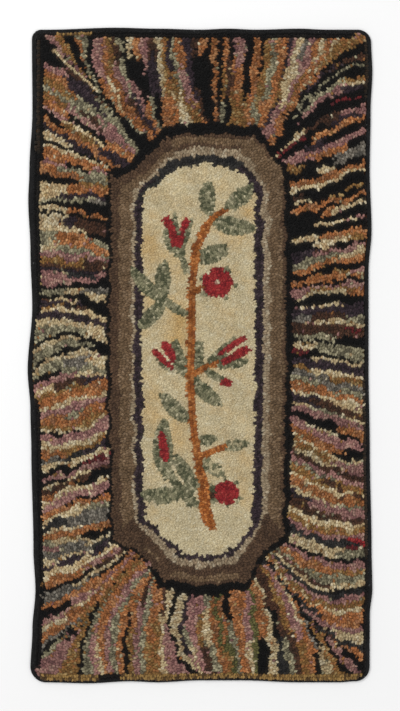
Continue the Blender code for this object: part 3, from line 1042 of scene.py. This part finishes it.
def make_ground(tree, colours, zones, fine):
    """The matted wool low between the loops: one sheet under the pile's face, which closes the pile, in the
    nearest loops' colours darkened as painted shade.
    """
    columns, rows = GROUND_STEPS
    right, top, left, bottom = (side[3] for side in SIDES)
    across = np.linspace(left - HALF_WIDTH, HALF_WIDTH - right, columns)
    along = np.linspace(bottom - HALF_LENGTH, HALF_LENGTH - top, rows)
    x, y = (values.ravel() for values in np.meshgrid(across, along))
    wide, long = stretch(x, y)
    x, y = x * wide, y * long
    spots = np.stack((x / UNIT + MIDDLE[0], MIDDLE[1] - y / UNIT), axis=1)
    near = nearest(tree, spots)
    height = face_height(x, y) - np.where(fine[near], FINE_GROUND_DEPTH, GROUND_DEPTH)
    height += RANDOM.normal(0, GROUND_ROUGHNESS, len(height))
    # Painted shade: the sheet takes the nearest loop's colour, darkened in each zone so that the creases
    # between loops read dark
    shade = np.array([GROUND_PAINTED_SHADES.get(zone, BORDER_GROUND_PAINTED_SHADE) for zone in zones[near].tolist()])
    tinted = np.concatenate((colours[near] * shade[:, None], np.ones((len(x), 1))), axis=1)
    first = (np.arange(rows - 1)[:, None] * columns + np.arange(columns - 1)).ravel()
    faces = np.stack((first, first + 1, first + columns + 1, first + columns), axis=1)
    inside = pile_inset(spots) > GROUND_MARGIN
    faces = faces[inside[faces].all(axis=1)]
    used, numbers = np.unique(faces, return_inverse=True)
    mesh = bpy.data.meshes.new("wool_ground")
    vertices = np.stack((x, y, height), axis=1)[used]
    mesh.from_pydata(vertices.tolist(), [], numbers.reshape(faces.shape).tolist())
    mesh.polygons.foreach_set("use_smooth", np.ones(len(faces), dtype=bool))
    mesh.attributes.new("wool_colour_and_painted_shade", "FLOAT_COLOR", "POINT").data.foreach_set(
        "color", np.clip(tinted[used], 0, 1).astype(np.float32).ravel()
    )
    layer = np.stack((faces % columns / columns, faces // columns / rows), axis=-1)
    mesh.uv_layers.new(name="OFBake").data.foreach_set("uv", layer.astype(np.float32).ravel())
    return add_piece("wool_ground", mesh)


def add_piece(name, mesh):
    """Links an object of a mesh and returns it."""
    piece = bpy.data.objects.new(name, mesh)
    bpy.context.scene.collection.objects.link(piece)
    return piece


def new_material(name, roughness):
    """A node material with its shader and output, and a maker of further nodes."""
    material = bpy.data.materials.new(name)
    material.use_nodes = True
    nodes = material.node_tree.nodes
    shader = nodes["Principled BSDF"]
    shader.inputs["Roughness"].default_value = roughness
    shader.inputs["Specular IOR Level"].default_value = 0.12
    return material, nodes, material.node_tree.links, shader


def noise(nodes, links, scale, detail, stretch_by=(1, 1, 1)):
    """A noise texture in object coordinates."""
    where = nodes.new("ShaderNodeTexCoord")
    mapping = nodes.new("ShaderNodeMapping")
    mapping.inputs["Scale"].default_value = stretch_by
    texture = nodes.new("ShaderNodeTexNoise")
    texture.inputs["Scale"].default_value = scale
    texture.inputs["Detail"].default_value = detail
    links.new(where.outputs["Object"], mapping.inputs["Vector"])
    links.new(mapping.outputs["Vector"], texture.inputs["Vector"])
    return texture.outputs["Fac"]


def ramp(nodes, links, value, stops):
    """A colour ramp over a value: stops are (position, grey or colour)."""
    made = nodes.new("ShaderNodeValToRGB")
    while len(made.color_ramp.elements) < len(stops):
        made.color_ramp.elements.new(0.5)
    for element, (position, colour) in zip(made.color_ramp.elements, stops):
        element.position = position
        element.color = (*colour, 1.0) if hasattr(colour, "__len__") else (colour, colour, colour, 1.0)
    links.new(value, made.inputs["Fac"])
    return made.outputs["Color"]


def multiply(nodes, links, first, second):
    """Two colours multiplied."""
    mix = nodes.new("ShaderNodeMix")
    mix.data_type = "RGBA"
    mix.blend_type = "MULTIPLY"
    mix.inputs["Factor"].default_value = 1.0
    links.new(first, mix.inputs[6])
    links.new(second, mix.inputs[7])
    return mix.outputs[2]


def bump(nodes, links, shader, height, strength, distance):
    """Bump from a height."""
    node = nodes.new("ShaderNodeBump")
    node.inputs["Strength"].default_value = strength
    node.inputs["Distance"].default_value = distance
    links.new(height, node.inputs["Height"])
    links.new(node.outputs["Normal"], shader.inputs["Normal"])


def wool_material():
    """Worn wool cloth: the strip's own colour with painted shade laid into it, flecked with fibres, with a
    fuzzy matt surface.
    """
    material, nodes, links, shader = new_material("wool_loops", 0.92)
    shader.inputs["Sheen Weight"].default_value = 0.06
    shader.inputs["Sheen Roughness"].default_value = 0.6
    # The attribute holds each wool's colour together with its painted shade
    attribute = nodes.new("ShaderNodeAttribute")
    attribute.attribute_name = "wool_colour_and_painted_shade"
    flecks = ramp(nodes, links, noise(nodes, links, 620, 4), ((0.3, 0.68), (0.5, 1.0), (0.72, 1.3)))
    colour = multiply(nodes, links, attribute.outputs["Color"], flecks)
    links.new(colour, shader.inputs["Base Color"])
    bump(nodes, links, shader, noise(nodes, links, 1300, 5), 0.5, 0.0006)
    return material


def woven_height(nodes, links, pitch_across, pitch_along):
    """The height of a plain weave of two sets of threads."""
    where = nodes.new("ShaderNodeTexCoord")
    heights = []
    for direction, pitch in (("X", pitch_across), ("Y", pitch_along)):
        wave = nodes.new("ShaderNodeTexWave")
        wave.wave_type = "BANDS"
        wave.bands_direction = direction
        wave.inputs["Scale"].default_value = 0.314 / pitch
        wave.inputs["Distortion"].default_value = 1.2
        wave.inputs["Detail"].default_value = 2.0
        links.new(where.outputs["Object"], wave.inputs["Vector"])
        heights.append(wave.outputs["Fac"])
    maximum = nodes.new("ShaderNodeMath")
    maximum.operation = "MAXIMUM"
    links.new(heights[0], maximum.inputs[0])
    links.new(heights[1], maximum.inputs[1])
    return maximum.outputs[0]


def hessian_material():
    """Old hessian: a coarse plain weave, browned, and darkened with painted shade in the nearest loops' colour
    where they cover it.
    """
    material, nodes, links, shader = new_material("hessian_weave", 0.95)
    weave = woven_height(nodes, links, 0.0016, 0.0018)
    threads = ramp(nodes, links, weave, ((0.2, (0.10, 0.06, 0.03)), (0.8, (0.40, 0.28, 0.16))))
    stains = ramp(nodes, links, noise(nodes, links, 9, 4), ((0.3, 0.75), (0.7, 1.1)))
    # Painted shade: the weave is multiplied by a darkening in the nearest loops' colour, kept on the sheet
    attribute = nodes.new("ShaderNodeAttribute")
    attribute.attribute_name = "painted_shade_under_wool"
    colour = multiply(nodes, links, multiply(nodes, links, threads, stains), attribute.outputs["Color"])
    links.new(colour, shader.inputs["Base Color"])
    bump(nodes, links, shader, weave, 0.7, 0.0008)
    return material


def tape_material():
    """Black cotton tape: a fine ribbed weave, dusty and a little faded, with pale lint here and there."""
    material, nodes, links, shader = new_material("black_tape_weave", 0.82)
    shader.inputs["Sheen Weight"].default_value = 0.1
    weave = woven_height(nodes, links, 0.0009, 0.0009)
    dust = ramp(nodes, links, noise(nodes, links, 60, 5), ((0.35, 0.005), (0.75, 0.015)))
    lint = ramp(nodes, links, noise(nodes, links, 420, 2), ((0.735, 0.0), (0.765, 0.28)))
    add = nodes.new("ShaderNodeMix")
    add.data_type = "RGBA"
    add.blend_type = "ADD"
    add.inputs["Factor"].default_value = 1.0
    links.new(dust, add.inputs[6])
    links.new(lint, add.inputs[7])
    links.new(add.outputs[2], shader.inputs["Base Color"])
    bump(nodes, links, shader, weave, 0.5, 0.0004)
    return material


def thread_material():
    """Black sewing thread, a little glossier than the tape."""
    material, nodes, links, shader = new_material("sewing_thread", 0.6)
    tone = ramp(nodes, links, noise(nodes, links, 200, 3), ((0.3, 0.012), (0.7, 0.035)))
    links.new(tone, shader.inputs["Base Color"])
    bump(nodes, links, shader, noise(nodes, links, 2500, 2), 0.4, 0.0002)
    return material


def corner_arc(side, insets, first, last, steps):
    """Points of a side's own corner between two shares of its quarter turn, 0 to 1, anticlockwise."""
    _, (towards_x, towards_y), radius, _ = SIDES[side]
    own, following = insets[side], insets[(side + 1) % 4]
    inset_x, inset_y = (own, following) if side % 2 == 0 else (following, own)
    radius = max(radius - (inset_x + inset_y) / 2, LEAST_RADIUS)
    middle_x = towards_x * (HALF_WIDTH - inset_x - radius)
    middle_y = towards_y * (HALF_LENGTH - inset_y - radius)
    angles = (side + first + (last - first) * np.linspace(0, 1, steps)) * math.pi / 2
    return np.stack((middle_x + radius * np.cos(angles), middle_y + radius * np.sin(angles)), axis=1)


def side_line(side, insets, step):
    """A side's points at the insets, from the middle of one corner to the middle of the next."""
    before = corner_arc(side - 1, insets, 0.5, 1.0, 7)
    after = corner_arc(side, insets, 0.0, 0.5, 7)
    whole = 2 * (HALF_LENGTH if side % 2 == 0 else HALF_WIDTH)
    shares = np.linspace(0, 1, round(whole / step) + 1)[1:-1, None]
    run = before[-1] + (after[0] - before[-1]) * shares
    points = np.vstack((before, run, after))
    wide, long = stretch(points[:, 0], points[:, 1])
    return np.stack((points[:, 0] * wide, points[:, 1] * long), axis=1)


def all_round(inset):
    """The same inset on the four sides."""
    return (inset,) * 4


def tape_front(beyond):
    """Insets at a distance beyond the tape's front edge."""
    return tuple(width + beyond for _, _, _, width in SIDES)


def whole_outline(insets, step):
    """The rug's whole outline at the insets, anticlockwise."""
    return np.vstack([side_line(side, insets, step)[:-1] for side in range(4)])


def grid_mesh(name, lines, closed_lines, caps):
    """A mesh of quads between lines of as many points, round and round, with its ends filled."""
    count = len(lines[0])
    vertices = np.concatenate(lines)
    faces = []
    pairs = len(lines) if closed_lines else len(lines) - 1
    for i in range(pairs):
        j = (i + 1) % len(lines)
        for k in range(count - 1 if caps == "ends" else count):
            n = (k + 1) % count
            faces.append((i * count + k, i * count + n, j * count + n, j * count + k))
    if caps == "ends":
        faces.append([i * count for i in range(len(lines))])
        faces.append([i * count + count - 1 for i in reversed(range(len(lines)))])
    mesh = bpy.data.meshes.new(name)
    mesh.from_pydata(vertices.tolist(), [], faces)
    mesh.update()
    return mesh


def outward(mesh):
    """Turns a closed mesh's faces outwards."""
    made = bmesh.new()
    made.from_mesh(mesh)
    bmesh.ops.recalc_face_normals(made, faces=made.faces)
    made.to_mesh(mesh)
    made.free()


def tape_section():
    """The tape's section, folded round the foundation's edge, with its folds and edges rounded."""
    fold = TAPE_THICKNESS + GAP
    under = RIM_TOP + GAP
    return (
        (all_round(TAPE_BACK), 0.0001), (all_round(TAPE_BACK * 0.6), 0.0), (all_round(2 * fold), 0.0),
        (all_round(0.9 * fold), 0.0001), (all_round(0.35 * fold), 0.0006), (all_round(0.05 * fold), 0.0013),
        (all_round(0.0), 0.5 * TAPE_TOP), (all_round(0.05 * fold), TAPE_TOP - 0.0013),
        (all_round(0.35 * fold), TAPE_TOP - 0.0005), (all_round(0.9 * fold), TAPE_TOP - 0.0001),
        (all_round(2 * fold), TAPE_TOP), (tape_front(-0.0014), TAPE_TOP),
        (tape_front(-0.0003), TAPE_TOP - 0.0002), (tape_front(0.0), TAPE_TOP - 0.0006),
        (tape_front(-0.0003), under), (all_round(fold), under), (all_round(fold), TAPE_THICKNESS),
        (all_round(TAPE_BACK), TAPE_THICKNESS),
    )


def make_tape(side):
    """One length of tape along a side, slightly puckered where it is sewn down."""
    lines = []
    for number, (insets, height) in enumerate(tape_section()):
        points = side_line(side, insets, 0.004)
        way = points[1] - points[0]
        points[0] += way / np.linalg.norm(way) * GAP
        way = points[-2] - points[-1]
        points[-1] += way / np.linalg.norm(way) * GAP
        place = points @ np.array((1.0, 1.0))
        pucker = 0.5 * np.sin(place * 2 * math.pi / 0.0068) + 0.5 * np.sin(place * 97 + side)
        heights = np.full(len(points), height)
        if 9 <= number <= 13:
            heights -= 0.00014 * (1 + pucker)
        lines.append(np.column_stack((points, heights)))
    mesh = grid_mesh("tape_" + SIDES[side][0], lines, True, "ends")
    outward(mesh)
    mesh.polygons.foreach_set("use_smooth", np.ones(len(mesh.polygons), dtype=bool))
    return add_piece("tape_" + SIDES[side][0], mesh)


def make_stitches():
    """Small slanting stitches that hold the tape's front edge down on the hessian."""
    sides, rings = 5, 5
    vertices, faces = [], []
    for side in range(4):
        line = side_line(side, tape_front(-0.0007), 0.0068)
        for index in range(4, len(line) - 4):
            way = line[index + 1] - line[index - 1]
            way /= np.linalg.norm(way)
            inward = np.array((-way[1], way[0]))
            lean = way * 0.35 + inward
            lean /= np.linalg.norm(lean)
            beside = np.array((-lean[1], lean[0]))
            base = len(vertices)
            for ring in range(rings):
                share = ring / (rings - 1)
                middle = line[index] + lean * (share - 0.5) * 0.0030
                height = TAPE_TOP - 0.0003 + 0.0004 * math.sin(math.pi * share)
                for turn in range(sides):
                    angle = 2 * math.pi * turn / sides
                    spot = middle + beside * 0.00028 * math.cos(angle)
                    vertices.append((spot[0], spot[1], height + 0.00028 * math.sin(angle)))
            for ring in range(rings - 1):
                for turn in range(sides):
                    n = (turn + 1) % sides
                    low, high = base + ring * sides, base + (ring + 1) * sides
                    faces.append((low + turn, low + n, high + n, high + turn))
            faces.append([base + turn for turn in range(sides)])
            faces.append([base + (rings - 1) * sides + turn for turn in reversed(range(sides))])
    mesh = bpy.data.meshes.new("tape_stitches")
    mesh.from_pydata(vertices, [], faces)
    outward(mesh)
    mesh.polygons.foreach_set("use_smooth", np.ones(len(mesh.polygons), dtype=bool))
    return add_piece("tape_stitches", mesh)


def make_foundation(tree, colours):
    """The hessian sheet: flat in the middle, its rim lifted over the back of the tape."""
    edge = all_round(TAPE_THICKNESS + 2 * GAP)
    low, high = 0.00045, FOUNDATION_THICKNESS
    insets = [FLAT_INSET + (0.279 - FLAT_INSET) * share for share in np.linspace(0, 1, 22)]
    rings = [(all_round(inset), low, 0.0) for inset in reversed(insets)]
    rings += [(all_round(RIM_END), low, RIM_LIFT), (edge, low, RIM_LIFT), (edge, high, RIM_LIFT)]
    rings += [(all_round(RIM_END), high, RIM_LIFT)]
    rings += [(all_round(inset), high, 0.0) for inset in insets]
    lines = []
    for ring_insets, height, lift in rings:
        points = whole_outline(ring_insets, 0.012)
        lines.append(np.column_stack((points, np.full(len(points), height + lift))))
    mesh = grid_mesh("hessian_sheet", lines, True, "none")
    outward(mesh)
    places = np.concatenate(lines)
    # Painted shade: the sheet's top takes the nearest loops' colour, brightened and clipped, so that it is
    # darker under dark wool
    painted_shade_under_wool = np.ones((len(places), 4))
    top = np.arange(len(places)) >= len(lines[0]) * (len(rings) // 2)
    spots = np.stack((places[:, 0] / UNIT + MIDDLE[0], MIDDLE[1] - places[:, 1] / UNIT), axis=1)
    near = nearest(tree, spots[top])
    painted_shade_under_wool[top, :3] = np.clip(colours[near] * 2.2, 0, 1)
    mesh.attributes.new("painted_shade_under_wool", "FLOAT_COLOR", "POINT").data.foreach_set("color", painted_shade_under_wool.ravel())
    return add_piece("hessian_sheet", mesh)


def make_camera():
    """The camera, straight above the rug's middle."""
    camera = bpy.data.cameras.new("camera")
    holder = bpy.data.objects.new("camera", camera)
    bpy.context.scene.collection.objects.link(holder)
    camera.sensor_width = SENSOR
    camera.lens = SENSOR * CAMERA_DISTANCE / (CHART_SIZE[1] * UNIT)
    camera.clip_start, camera.clip_end = 0.1, 30.0
    middle_x = (CHART_SIZE[0] / 2 - MIDDLE[0]) * UNIT
    middle_y = (MIDDLE[1] - CHART_SIZE[1] / 2) * UNIT
    holder.location = (middle_x, middle_y, PILE_TOP + CAMERA_DISTANCE)
    bpy.context.scene.camera = holder


def make_floor():
    """A plain pale floor, which isn't part of the rug."""
    mesh = bpy.data.meshes.new("floor")
    mesh.from_pydata([(-4, -4, 0), (4, -4, 0), (4, 4, 0), (-4, 4, 0)], [], [(0, 1, 2, 3)])
    floor = add_piece("floor", mesh)
    floor.location.z = -0.0002
    material, _, _, shader = new_material("pale_floor", 0.9)
    shader.inputs["Base Color"].default_value = (0.86, 0.86, 0.86, 1.0)
    mesh.materials.append(material)


def make_light(name, place, size, energy):
    """A soft square light that faces the rug."""
    light = bpy.data.lights.new(name, "AREA")
    light.size = size
    light.energy = energy
    holder = bpy.data.objects.new(name, light)
    bpy.context.scene.collection.objects.link(holder)
    holder.location = place
    holder.rotation_euler = (-Vector(place)).to_track_quat("-Z", "Y").to_euler()


def make_world():
    """Even pale light from all round."""
    world = bpy.data.worlds.new("studio")
    world.use_nodes = True
    background = world.node_tree.nodes["Background"]
    background.inputs["Color"].default_value = (1.0, 1.0, 1.0, 1.0)
    background.inputs["Strength"].default_value = 0.75
    bpy.context.scene.world = world
    bpy.context.scene.view_settings.view_transform = "Standard"


def finish_piece(piece, material):
    """Gives a piece its material and the body that carries it."""
    piece.data.materials.append(material)
    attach(piece, "root")


def main():
    make_camera()
    make_floor()
    make_world()
    make_light("key_light", (-1.5, 1.3, 2.2), 1.2, 36.0)
    make_light("fill_light", (1.6, -1.2, 2.6), 2.0, 14.0)
    points, ways, pitch, colours, zones = lay_loops()
    vertices = loop_points(points, ways, pitch)
    wool = wool_material()
    zones = np.where(zones == "edge", np.where(points[:, 1] > 600, "bottom", "top"), zones)
    for zone in ("field", "spray", "bands", "left", "right", "top", "bottom"):
        own = zones == zone
        piece = loops_mesh(zone, vertices[own], colours[own])
        finish_piece(piece, wool)
        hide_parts("pile")
    tree = sample_tree(points)
    ground = make_ground(tree, colours, zones, pitch[:, 0] < BORDER_PITCH[0])
    finish_piece(ground, wool)
    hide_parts("pile")
    foundation = make_foundation(tree, colours)
    finish_piece(foundation, hessian_material())
    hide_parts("foundation")
    tape = tape_material()
    for side in range(4):
        piece = make_tape(side)
        finish_piece(piece, tape)
        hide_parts("binding_" + SIDES[side][0])
    stitches = make_stitches()
    finish_piece(stitches, thread_material())


main()
